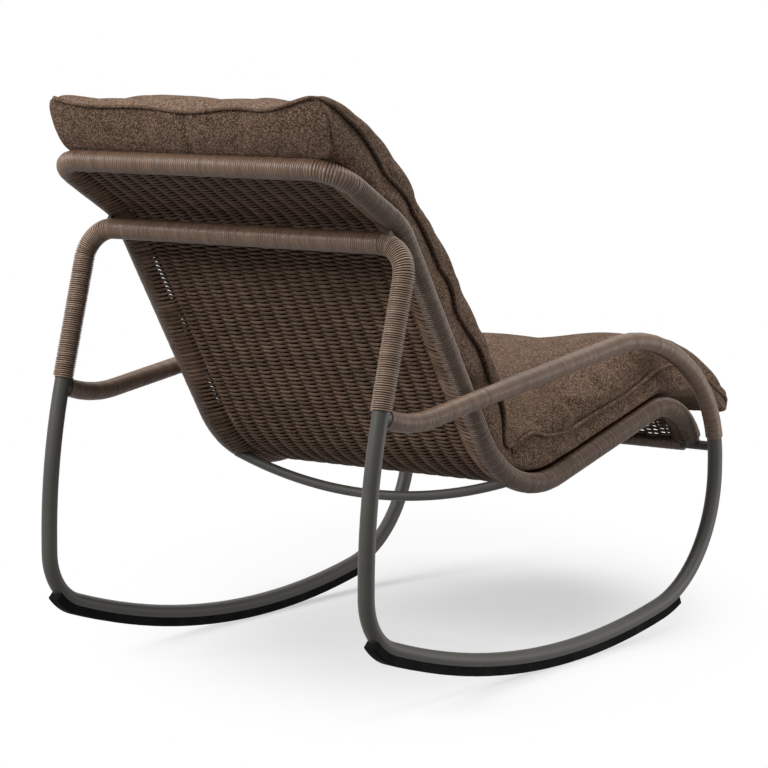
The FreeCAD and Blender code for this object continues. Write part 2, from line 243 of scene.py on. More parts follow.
@dataclass(frozen=True)
class Plan:
    """Lines of the chair's frame, in millimetres and degrees, where a table has bends and runs as Line follows them."""

    tube_radius: float = 12.5
    slim_radius: float = 8.0
    rail_half: float = 272.0
    bar_half: float = 257.0
    splay: float = 0.62
    arm_foot: Triple = (321.141, -434.945, 273.986)
    arm: Table = ((188.0, -48.3), (324.0, -49.0), (500.0, 0.0), (240.0, 27.0), (15.0, 0.0))
    hoop_foot: Triple = (311.0, 502.167, 453.620)
    hoop_lean: float = 16.0
    hoop_bend: float = 50.0
    crossbar_z: float = 690.0
    overreach: float = 76.0
    top_corner: float = 50.0
    head_run: float = 150.0
    head_slant: float = 30.0
    head_y_z: Pair = (556.0, 802.0)
    lounge: Table = ((105.0, 28.0), (368.0, 0.0), (198.0, -72.2), (292.0, 0.0), (119.0, 83.0))
    cushion_knee: Pair = (245.0, 58.0)

    @staticmethod
    def arch(line: Line, radius: float) -> Line:
        """Go on from the left side over to the same distance on the right, with a square bend at each end."""
        axis = np.cross(line.heading, -X_AXIS)
        return line.bend(radius, 90, axis).run(2 * (line.start[0] - radius)).bend(radius, 90, axis)

    def arm_line(self, side: Side) -> Line:
        """Arm of one side, from the top of the front leg to the axis of the rear leg."""
        foot = np.array(self.arm_foot) * (side.value, 1, 1)
        return Line(foot, UP, turned(X_AXIS, UP, side.value * math.radians(self.splay))).follow(self.arm)

    def hoop_line(self) -> Line:
        """Rear hoop, up the left leg, across the crossbar and down the right leg."""
        foot, up = np.array(self.hoop_foot), heading(90 + self.hoop_lean)
        leg = (self.crossbar_z - foot[2]) / up[2] - self.hoop_bend
        return self.arch(Line(foot, up, X_AXIS).run(leg), self.hoop_bend).run(leg)

    def lounge_line(self, x: float) -> Line:
        """Line of the seat frame at one distance from the middle, from above the top rail to the front bar."""
        up = heading(self.head_slant)
        start = np.array([x, *self.head_y_z]) + up * self.overreach
        return Line(start, -up, X_AXIS).run(self.overreach + self.head_run).follow(self.lounge)

    def cushion_line(self) -> Line:
        """Line that the cushion lies along: the seat frame's, with a wider turn at the knee."""
        line = self.lounge_line(0)
        line.moves.pop()
        return line.bend(*self.cushion_knee)

    def top_rail_line(self) -> Line:
        """Top rail with its two corners, from the left side rail to the right one."""
        corner, down, _ = self.lounge_line(self.rail_half).at(self.overreach + self.top_corner)
        return self.arch(Line(corner, -down, X_AXIS), self.top_corner)

    def front_bar_line(self) -> Line:
        """Wound stretch of the front bar, from right to left."""
        line = self.lounge_line(-self.bar_half)
        return Line(line.at(line.length)[0], X_AXIS, np.array([0.0, 1.0, 0.0])).run(2 * self.bar_half)


PLAN = Plan()


@dataclass
class Surface:
    """Points and quads of one piece in millimetres, with what its finish follows.

    Attributes:
        lay: Three numbers for each point of a strand.
        corner_uv: Place on the flat cloth for each quad's corners, in metres.
    """

    points: Array
    quads: Array
    lay: Array | None = None
    corner_uv: Array | None = None

    @staticmethod
    def grid_quads(rows: int, columns: int) -> Array:
        """Quads of a grid of points, which face out where the columns turn about the rows' heading.

        Args:
            rows: Number of points along.
            columns: Number of points around, where the last joins the first.

        Returns:
            Four indices for each quad.
        """
        row, column = np.meshgrid(np.arange(rows - 1) * columns, np.arange(columns), indexing="ij")
        after = (column + 1) % columns
        return np.stack((row + column, row + after, row + columns + after, row + columns + column), -1).reshape(-1, 4)

    @classmethod
    def tubes(cls, centres: Array, first: Array, second: Array, radius: Array, sides: int, lay: Array) -> "Surface":
        """Round strands along lines of points.

        Each ring has the points c + r (a cos t + b sin t), for the line's point c, two directions a and b
        square to the line, and t in equal steps of a whole turn.

        Args:
            centres: Points of the lines, as (strands, points, 3).
        first, second: Directions a and b, in a shape that fits centres.
        radius: Radius r at each point, as (strands, points).
        sides: Points around each ring.
            lay: Value at each point, as (strands, points, 3).

        Returns:
            One surface with all the strands.
        """
        strands, count, _ = centres.shape
        angle = np.arange(sides) * (2 * np.pi / sides)
        ring = np.cos(angle)[:, None] * first[:, :, None] + np.sin(angle)[:, None] * second[:, :, None]
        points = centres[:, :, None] + radius[:, :, None, None] * ring
        quads = cls.grid_quads(count, sides) + (np.arange(strands) * count * sides)[:, None, None]
        return cls(points.reshape(-1, 3), quads.reshape(-1, 4), np.repeat(lay.reshape(-1, 3), sides, 0))

    def with_more(self, other: "Surface") -> "Surface":
        """This surface and another as one."""
        return Surface(np.concatenate([self.points, other.points]),
                       np.concatenate([self.quads, other.quads + len(self.points)]),
                       np.concatenate([self.lay, other.lay]))

    def piece(self, name: str, material: Material, body: Body, slot: Slot) -> Piece:
        """Make the surface into an object that rides on a body.

        Args:
            name: Name of the piece.
            material: Its material.
            body: Body that it rides on.
            slot: Material slot that its finish belongs to; not used.

        Returns:
            The object, at the origin, with smooth faces.
        """
        mesh = bpy.data.meshes.new(name)
        mesh.vertices.add(len(self.points))
        mesh.vertices.foreach_set("co", (self.points * TO_METRES).astype(np.float32).ravel())
        mesh.loops.add(self.quads.size)
        mesh.loops.foreach_set("vertex_index", self.quads.astype(np.int32).ravel())
        mesh.polygons.add(len(self.quads))
        mesh.polygons.foreach_set("loop_start", np.arange(0, self.quads.size, 4, dtype=np.int32))
        mesh.update(calc_edges=True)
        mesh.polygons.foreach_set("use_smooth", np.ones(len(self.quads), dtype=bool))
        if self.lay is not None:
            lay = mesh.attributes.new("lay", "FLOAT_VECTOR", "POINT")
            lay.data.foreach_set("vector", self.lay.astype(np.float32).ravel())
        if self.corner_uv is not None:
            uv = mesh.uv_layers.new(name="cloth")
            uv.data.foreach_set("uv", self.corner_uv.astype(np.float32).ravel())
        mesh.materials.append(material)
        piece = linked(name, mesh)
        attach(piece, body.value)
        return piece


class NodeKit:
    """Builds the node tree of a material or of the world."""

    def __init__(self, owner: bpy.types.ID) -> None:
        """Start with an empty tree."""
        owner.use_nodes = True
        self.owner, self.tree = owner, owner.node_tree
        self.tree.nodes.clear()

    def node(self, kind: str, inputs: dict[str | int, object] | None = None, **settings: object) -> bpy.types.Node:
        """Add a node.

        Args:
            kind: Its type, without the word that all types start with.
            inputs: For some inputs, by name or number, a value or the output of another node.
            settings: Some of the node's settings.

        Returns:
            The node.
        """
        node = self.tree.nodes.new(f"ShaderNode{kind}")
        for name, value in settings.items():
            setattr(node, name, value)
        for key, value in (inputs or {}).items():
            socket = node.inputs[key]
            if isinstance(value, Socket):
                self.tree.links.new(value, socket)
            else:
                socket.default_value = (*value, 1.0) if socket.type == "RGBA" else value
        return node

    def math(self, operation: str, *numbers: object, clamp: bool = False) -> Socket:
        """Result of a sum on one to three numbers."""
        return self.node("Math", dict(enumerate(numbers)), operation=operation, use_clamp=clamp).outputs[0]

    def total(self, *terms: tuple[Socket, float], start: object = 0.0) -> Socket:
        """Sum of numbers, each times its share, on top of a start."""
        for number, share in terms:
            start = self.math("MULTIPLY_ADD", number, share, start)
        return start

    def parts(self, vector: Socket) -> list[Socket]:
        """The three numbers of a vector."""
        return list(self.node("SeparateXYZ", {0: vector}).outputs)

    def scaled(self, vector: Socket, factors: Triple) -> Socket:
        """A vector whose three numbers are multiplied by their own factors."""
        return self.node("VectorMath", {0: vector, 1: factors}, operation="MULTIPLY").outputs[0]

    def object_place(self) -> Socket:
        """Place on the object, in metres."""
        return self.node("TexCoord").outputs["Object"]

    def noise(self, place: Socket, scale: float = 1.0, detail: float = 2.0) -> Socket:
        """Smooth noise between 0 and 1."""
        return self.node("TexNoise", {"Vector": place, "Scale": scale, "Detail": detail}).outputs[0]

    def fade(self, value: Socket, low: float, high: float, start: float = 0.0) -> Socket:
        """Rise from the start at low to 1 at high with level ends."""
        inputs = {"Value": value, "From Min": low, "From Max": high, "To Min": start}
        return self.node("MapRange", inputs, interpolation_type="SMOOTHSTEP").outputs[0]

    def ramp(self, factor: Socket, *stops: tuple[float, Triple]) -> Socket:
        """Colour that goes through stops as the factor rises.

        Args:
            factor: Number that chooses the colour.
            stops: Places and colours, of which a new ramp already has room for two.

        Returns:
            The colour.
        """
        node = self.node("ValToRGB", {0: factor})
        elements = node.color_ramp.elements
        for number, (place, colour) in enumerate(stops):
            element = elements[number] if number < 2 else elements.new(place)
            element.position, element.color = place, (*colour, 1.0)
        return node.outputs[0]

    def tinted(self, share: Socket, colour: object, tint: Triple) -> Socket:
        """A colour multiplied by a tint, by some share of it."""
        inputs = {0: share, 6: colour, 7: tint}
        return self.node("Mix", inputs, data_type="RGBA", blend_type="MULTIPLY").outputs[2]

    def bump(self, height: Socket, strength: float, distance: float) -> Socket:
        """Surface direction of a height, for a relief of the given depth in metres."""
        return self.node("Bump", {"Strength": strength, "Distance": distance, "Height": height}).outputs[0]

    def seen(self) -> Socket:
        """1 for rays that show a thing to the camera, straight on, in a mirror or through glass, and else 0."""
        path = self.node("LightPath").outputs
        indirect = self.math("MAXIMUM", path["Is Glossy Ray"], path["Is Transmission Ray"])
        return self.math("MAXIMUM", path["Is Camera Ray"], indirect)

    def finished(self, shader: bpy.types.Node, output: str = "OutputMaterial") -> bpy.types.ID:
        """End the tree with a shader."""
        self.node(output, {"Surface": shader.outputs[0]})
        return self.owner

    def principled(self, **values: object) -> Material:
        """Finish the material with the usual shader, whose inputs are named with _ for a space."""
        inputs = {name.replace("_", " "): value for name, value in values.items()}
        return self.finished(self.node("BsdfPrincipled", inputs))


@dataclass(frozen=True)
class WickerFinish:
    """Extruded resin strand: streaked along its length, a shade apart from strand to strand."""

    name: str
    dark: Triple
    middle: Triple
    pale: Triple
    roughness: float
    gloss: float
    # Tint of the painted shade in the grooves between turns, and between the stakes of the woven panel.
    groove_shade: Triple = (0.04, 0.035, 0.03)

    def material(self) -> Material:
        """Streaks and shades follow the strand: its length, how near its edge, and which turn or row it is.

        Returns:
            The material, which is darkened with painted shade in the grooves at the strand's edges.
        """
        kit = NodeKit(bpy.data.materials.new(self.name))
        lay = kit.node("Attribute", attribute_name="lay").outputs["Vector"]
        shade = kit.noise(kit.scaled(lay, (6.0, 0.0, 3.7)))
        streak = kit.noise(kit.scaled(lay, (30.0, 5.0, 9.1)), detail=3.0)
        tone = kit.total((shade, 0.55), (streak, 0.45))
        colour = kit.ramp(tone, (0.3, self.dark), (0.5, self.middle), (0.7, self.pale))
        # Painted shade: the lay's second number darkens the colour towards the groove tint, in the grooves of wound
        # strands and between the stakes of the woven panel.
        edge = kit.fade(kit.parts(lay)[1], low=0.20, high=0.85)
        return kit.principled(Base_Color=kit.tinted(edge, colour, self.groove_shade), Specular_IOR_Level=self.gloss,
                              Roughness=kit.total((streak, 0.16), start=self.roughness - 0.08),
                              Normal=kit.bump(streak, strength=0.25, distance=0.0006))


@dataclass(frozen=True)
class PaintFinish:
    """Powder coat on steel: a fine orange-peel skin with a faint mottle."""

    name: str
    colour: Triple
    pale: Triple
    roughness: float
    gloss: float = 0.3

    def material(self) -> Material:
        """Mottle at hand size and grain at skin size, both from the place on the object.

        Returns:
            The material.
        """
        kit = NodeKit(bpy.data.materials.new(self.name))
        place = kit.object_place()
        mottle = kit.noise(place, scale=14.0, detail=4.0)
        grain = kit.noise(place, scale=1100.0, detail=1.0)
        colour = kit.ramp(kit.total((mottle, 0.6), (grain, 0.4)), (0.3, self.colour), (0.7, self.pale))
        return kit.principled(Base_Color=colour, Specular_IOR_Level=self.gloss,
                              Roughness=kit.total((mottle, 0.14), start=self.roughness - 0.07),
                              Normal=kit.bump(grain, strength=0.18, distance=0.0004))


@dataclass(frozen=True)
class RubberFinish:
    """Moulded black rubber with a dusty, scuffed skin."""

    name: str
    colour: Triple
    dust: Triple
    roughness: float = 0.8
    gloss: float = 0.06

    def material(self) -> Material:
        """Dust gathers in soft patches, and the skin has a fine grain.

        Returns:
            The material.
        """
        kit = NodeKit(bpy.data.materials.new(self.name))
        place = kit.object_place()
        patches = kit.noise(place, scale=30.0, detail=5.0)
        grain = kit.noise(place, scale=900.0)
        return kit.principled(Base_Color=kit.ramp(patches, (0.4, self.colour), (0.75, self.dust)),
                              Roughness=kit.total((patches, 0.15), start=self.roughness),
                              Normal=kit.bump(grain, strength=0.3, distance=0.0005),
                              Specular_IOR_Level=self.gloss)


@dataclass(frozen=True)
class SteelFinish:
    """Zinc plated steel of the small screws."""

    name: str
    colour: Triple
    spot: Triple = (0.6, 0.58, 0.55)
    roughness: float = 0.25

    def material(self) -> Material:
        """A plated metal whose gloss changes from spot to spot."""
        kit = NodeKit(bpy.data.materials.new(self.name))
        spots = kit.noise(kit.object_place(), scale=700.0, detail=3.0)
        return kit.principled(Base_Color=kit.tinted(kit.math("MULTIPLY", spots, 0.4), self.colour, self.spot),
                              Roughness=kit.total((spots, 0.25), start=self.roughness), Metallic=1.0)


@dataclass(frozen=True)
class FabricFinish:
    """Coarse plain weave of mixed brown yarns with paler flecks."""

    name: str
    dark: Triple
    middle: Triple
    pale: Triple
    yarn: float
    # Tint of the painted shade in the hollows between the yarns.
    hollow_shade: Triple = (0.35, 0.32, 0.3)
    sheen: Triple = (0.8, 0.66, 0.55)

    def material(self) -> Material:
        """Yarns cross one another in a checker of the yarn's width, laid out on the cloth's own flat measure.

        Returns:
            The material, whose colour is mixed from a speck for each crossing and three sizes of noise, with painted
            shade in the hollows between the yarns.
        """
        kit = NodeKit(bpy.data.materials.new(self.name))
        uv = kit.node("UVMap", uv_map="cloth").outputs[0]
        wander = kit.noise(uv, scale=40.0, detail=1.0)
        yarns = [kit.total((measure, 1 / self.yarn), start=wander) for measure in kit.parts(uv)[:2]]
        warp, weft = (kit.math("ABSOLUTE", kit.math("SINE", kit.math("MULTIPLY", yarn, math.pi))) for yarn in yarns)
        column, row = (kit.math("FLOOR", yarn) for yarn in yarns)
        over = kit.math("ABSOLUTE", kit.math("MODULO", kit.math("ADD", column, row), 2.0))
        relief = kit.node("Mix", {0: over, 2: warp, 3: weft}, data_type="FLOAT").outputs[0]
        cell = kit.node("CombineXYZ", {0: column, 1: row}).outputs[0]
        speck = kit.node("TexWhiteNoise", {"Vector": cell}, noise_dimensions="3D").outputs[0]
        drift = kit.noise(uv, scale=30.0, detail=4.0)
        slub, heather = (kit.noise(uv, scale) for scale in (150.0, 600.0))
        tone = kit.total((speck, 0.48), (drift, 0.14), (slub, 0.16), (heather, 0.22))
        colour = kit.ramp(tone, (0.26, self.dark), (0.50, self.middle), (0.76, self.pale))
        # Painted shade: the colour darkens towards the hollow tint where the yarns sink between crossings.
        low = kit.math("MULTIPLY", kit.math("SUBTRACT", 1.0, relief, clamp=True), 0.55)
        height = kit.total((heather, 0.5), start=relief)
        return kit.principled(Base_Color=kit.tinted(low, colour, self.hollow_shade), Roughness=0.92,
                              Normal=kit.bump(height, strength=0.55, distance=0.0012), Specular_IOR_Level=0.1,
                              Sheen_Weight=0.12, Sheen_Roughness=0.5, Sheen_Tint=self.sheen)


@dataclass(frozen=True)
class Strand:
    """A strand in a winding: its thickness, a turn's width, how deep its grooves are (as a share), and how strong their
    painted shade is.
    """

    thickness: float
    pitch: float
    roundness: float
    groove_shade: float


@dataclass(frozen=True)
class Winding:
    """A strand wound round a tube in touching turns.

    Attributes:
        part: Part of the frame that it covers, in the names of the piece and of its CAD node.
        line, radius: The tube's axis and radius.
        first, last: Where the winding starts and ends along the axis.
        segments, across: Points on each turn and over the strand's width.
        skin: Height over the tube where the strand ends.
        unevenness, wander: How much one turn stands higher than another, and strays, as a share of the pitch.
        shadows: Least and greatest strength of the painted shade at a turn's edge, drawn for each turn.
    """

    part: str
    line: Line
    first: float
    last: float
    strand: Strand
    seed: int
    radius: float = PLAN.tube_radius
    segments: int = 20
    across: int = 5
    skin: float = 0.1
    unevenness: float = 0.12
    wander: float = 0.10
    shadows: Pair = (0.6, 1.35)

    def surface(self) -> Surface:
        """Strand of one unbroken helix whose turns share their edges.

        At angle t, measured in turns, and share v of the strand's width, the point lies at the distance
        (t + v) pitch along the axis and at the radius: tube + thickness (1 - roundness) + thickness roundness
        sqrt(1 - (2 v - 1)^2), with a little unevenness from turn to turn. The strand's ends, and the outer
        edges of the first and last turns, go down to the tube.

        Returns:
            The surface, with the strand's length, the strength of its painted groove shade and its turn at each point.
        """
        strand, around = self.strand, self.segments
        turns = int((self.last - self.first) / strand.pitch) - 1
        pitch = (self.last - self.first) / (turns + 1)
        steps = turns * around
        step = np.arange(steps + around + 1)[:, None]
        share = np.arange(self.across) / self.across
        turn = step / around
        rng = np.random.default_rng(self.seed)
        draws = turns + 4
        wave = np.interp(turn, np.arange(draws), rng.normal(0, 1, draws))
        shadow = np.interp(turn, np.arange(draws), rng.uniform(*self.shadows, draws))
        profile = np.sqrt(np.clip(1 - (2 * share - 1) ** 2, 0, 1))
        rise = smooth_band((0, around / 3, steps - around / 3, steps), step)
        level = strand.thickness * (1 - strand.roundness + strand.roundness * profile) + self.unevenness * wave
        outer_edge = ((step < around) | (step >= steps)) & (share == 0)
        height = np.where(outer_edge, self.skin, self.skin + (level - self.skin) * rise)
        frames = self.line.frames(self.first + pitch * (turn + share + self.wander * wave * profile * rise))
        angle = (2 * np.pi * turn)[..., None]
        spoke = np.cos(angle) * frames.side + np.sin(angle) * frames.up
        points = frames.points + (self.radius + height)[..., None] * spoke
        length = turn * (2 * np.pi * (self.radius + strand.thickness) * TO_METRES)
        # Painted shade in the grooves: strongest at a turn's edge, where it differs from turn to turn, and fading
        # towards the strand's middle.
        edge = strand.groove_shade * np.where(share == 0, shadow, np.abs(2 * share - 1))
        lay = np.stack(np.broadcast_arrays(length, edge, np.floor(turn)), -1)
        return self.welded(points, lay, steps)

    def welded(self, points: Array, lay: Array, steps: int) -> Surface:
        """Join each turn's far edge to the near edge of the next turn.

        Args:
            points: Grid of points, with one row for each step along the helix.
            lay: Values in the same grid.
            steps: Steps that have a strand; the rows after them only hold the last edge.

        Returns:
            The surface without the points that no quad uses.
        """
        row, column = np.meshgrid(np.arange(steps), np.arange(self.across + 1), indexing="ij")
        past = column == self.across
        near = np.where(past, (row + self.segments) * self.across, row * self.across + column)
        far = near + self.across
        quads = np.stack([near[:, :-1], far[:, :-1], far[:, 1:], near[:, 1:]], -1)
        used, renumbered = np.unique(quads, return_inverse=True)
        return Surface(points.reshape(-1, 3)[used], renumbered.reshape(-1, 4), lay.reshape(-1, 3)[used])

    def build(self, material: Material) -> Piece:
        """Make the piece and let it stand for its CAD node."""
        piece = self.surface().piece(f"{self.part}_winding", material, Body.FRAME, Slot.WICKER)
        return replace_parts(piece, f"{self.part}_wrap")


@dataclass(frozen=True)
class WickerFrame:
    """Wound strands on the arms, the hoop, the side rails, the top rail and the front bar."""

    finish: WickerFinish
    # Paler copy of the wicker for the legs: a painted highlight for the brighter light that the legs catch.
    lit_leg_finish: WickerFinish
    leg: Strand = Strand(4.0, 3.36, 0.85, 1.0)
    crossbar: Strand = Strand(4.0, 4.1, 0.42, 0.5)
    top_rail: Strand = Strand(4.0, 4.1, 0.45, 0.6)
    front_bar: Strand = Strand(4.0, 3.6, 0.6, 0.8)
    arm: Strand = Strand(2.2, 3.1, 0.45, 0.6)
    rail: Strand = Strand(4.0, 3.6, 0.75, 1.0)

    def windings(self) -> list[Winding]:
        """Every winding of the frame, over the CAD sleeves' stretches, which lap a little where two meet.

        Returns:
            The windings, in the order in which they are made.
        """
        hoop, top, bar = PLAN.hoop_line(), PLAN.top_rail_line(), PLAN.front_bar_line()
        leg_end = hoop.ends[1]
        found = [
            Winding("left_leg", hoop, 2, leg_end + 5, self.leg, 11),
            Winding("rear_crossbar", hoop, leg_end - 3, hoop.length - leg_end + 3, self.crossbar, 12),
            Winding("right_leg", hoop, hoop.length - leg_end - 5, hoop.length + 3, self.leg, 13),
            Winding("top_rail", top, -4, top.length + 4, self.top_rail, 14),
            Winding("front_bar", bar, 0, bar.length, self.front_bar, 15, PLAN.slim_radius),
        ]
        rail_start = PLAN.overreach + PLAN.top_corner - 3
        for side in Side:
            arm, rail = PLAN.arm_line(side), PLAN.lounge_line(side.value * PLAN.rail_half)
            found.append(Winding(f"{side.word}_arm", arm, 35, arm.length - 14, self.arm, 20 + side.value))
            found.append(Winding(f"{side.word}_rail", rail, rail_start, rail.length - 13, self.rail, 30 + side.value))
        return found

    def build(self) -> None:
        """Make every winding."""
        material, lit_leg_material = self.finish.material(), self.lit_leg_finish.material()
        for winding in self.windings():
            report(winding.build(lit_leg_material if winding.strand is self.leg else material))


@dataclass(frozen=True)
class WovenPanel:
    """Seat shell: strands woven from rail to rail, over and under stakes that run down the seat frame.

    Attributes:
        spread: How much broader a strand is where it crosses a stake.
        lift, rail_lift: How far a strand stands off the seat line at a stake and at a side rail.
        loose, closing: Stretches whose strands stay narrow beside the rails, and how broad the others get there.
        sway, sway_knots: How far a strand strays along the seat line, and at how many places.
        shade, stake_shade: How much painted shade a strand has between stakes, and how much a stake has.
        tip: Share of the radius at a strand's ends.
    """

    finish: WickerFinish
    row_pitch: float = 4.06
    strand_radius: float = 2.02
    spread: float = 0.42
    stake_radius: float = 2.2
    stake_gap: float = 28.0
    stakes: int = 17
    lift: float = 3.0
    rail_lift: float = 14.5
    loose: Table = ((345.0, 425.0), (462.0, 482.0), (575.0, 645.0))
    closing: float = 3.0
    sway: float = 0.22
    sway_knots: int = 12
    shade: float = 0.62
    stake_shade: float = 0.6
    tip: float = 0.05
    samples: int = 150
    sides: int = 6
    stake_sides: int = 8

    def stretches(self) -> dict[str, Pair]:
        """Stretch of the seat line that each CAD node of the panel covers."""
        head, fold, back, crease, seat, knee = PLAN.lounge_line(0).ends
        middle = (head + fold) / 2
        return {"headrest": (PLAN.overreach + 16.8, middle), "back": (middle, back), "crease": (back, crease),
                "seat": (crease, seat), "knee": (seat, knee - 12.3)}

    def rows(self, first: float, last: float) -> Surface:
        """Strands across one stretch of the panel.

        Row k lies at the distance (k + 1/2) pitch along the seat line. At a stake it is the stake's lift
        above or below the line, in turn from stake to stake and from row to row, and it goes between them
        as half a cosine wave. It is broader where it crosses a stake, and past the last stake, where it goes over
        or under the side rail. There a few loose stretches stay narrow, so that light comes through.

        Args:
            first: Start of the stretch along the seat line.
            last: End of the stretch.

        Returns:
            All the strands as one surface.
        """
        numbers = np.arange(math.ceil(first / self.row_pitch - 0.5), math.floor(last / self.row_pitch - 0.5) + 1)
        places = (numbers + 0.5) * self.row_pitch
        frames = PLAN.lounge_line(0).frames(places)
        up, ahead = frames.up[:, None], frames.heading[:, None]
        x = np.linspace(-1, 1, self.samples) * self.corner_reach(places)[:, None]
        parity = np.where(numbers % 2, 1.0, -1.0)[:, None]
        weave = parity * np.cos(np.pi * x / self.stake_gap)
        outer = (self.stakes - 1) / 2
        over_rail = smooth_step(outer * self.stake_gap, PLAN.rail_half, np.abs(x))
        at_rail = -parity * np.cos(np.pi * outer)
        offset = self.lift * weave * (1 - over_rail) + self.rail_lift * at_rail * over_rail
        drift = np.random.default_rng(int(first)).normal(0, self.sway, (len(numbers), self.sway_knots))
        spots = np.linspace(0, self.sway_knots - 1, self.samples)
        sway = np.stack([np.interp(spots, np.arange(self.sway_knots), row) for row in drift])
        centres = frames.points[:, None] + x[..., None] * X_AXIS + offset[..., None] * up + sway[..., None] * ahead
        step = np.arange(self.samples)
        taper = np.minimum(1, self.tip + np.minimum(step, step[::-1]))
        radius = np.broadcast_to(self.strand_radius * taper, x.shape)
        # Painted shade: a strand is darkest midway between two stakes and has none over the rails.
        depth = np.clip(self.shade - self.shade * np.abs(weave), 0, 1) * (1 - over_rail)
        lay = np.stack(np.broadcast_arrays(x * TO_METRES, depth, numbers[:, None]), -1)
        tight = 1.0 - np.any([(places > start) & (places < end) for start, end in self.loose], axis=0)
        closed = self.closing * over_rail * (1 - over_rail) * tight[:, None]
        broad = (1 + self.spread * weave ** 2 + closed)[..., None] * ahead
        return Surface.tubes(centres, up, broad, radius, self.sides, lay)

    def corner_reach(self, places: Array) -> Array:
        """Half width of the panel: out to the side rails, and less inside the top rail's rounded corners."""
        below = np.clip(places - PLAN.overreach, 0, PLAN.top_corner)
        rounding = PLAN.top_corner - np.sqrt(PLAN.top_corner ** 2 - (PLAN.top_corner - below) ** 2)
        return PLAN.rail_half - rounding

    def uprights(self, first: float, last: float) -> Surface:
        """Stakes down one stretch of the panel, each a round strand along the seat line.

        Args:
            first: Start of the stretch along the seat line.
            last: End of the stretch.

        Returns:
            All the stakes as one surface.
        """
        x = (np.arange(self.stakes) - (self.stakes - 1) / 2)[:, None] * self.stake_gap
        places = np.linspace(first - 2, last + 2, max(8, int((last - first) / 7)))
        frames = PLAN.lounge_line(0).frames(places)
        centres = frames.points + x[..., None] * X_AXIS
        # Each stake carries the same painted shade along its whole length.
        lay = np.stack(np.broadcast_arrays(places * TO_METRES, self.stake_shade, x), -1)
        radius = np.full(centres.shape[:2], self.stake_radius)
        return Surface.tubes(centres, X_AXIS[None, None], frames.up[None], radius, self.stake_sides, lay)

    def build(self) -> None:
        """Make each stretch of the panel and let it stand for its CAD node."""
        material = self.finish.material()
        for name, stretch in self.stretches().items():
            surface = self.rows(*stretch).with_more(self.uprights(*stretch))
            piece = surface.piece(f"{name}_woven", material, Body.FRAME, Slot.WICKER)
            report(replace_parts(piece, f"{name}_weave"))


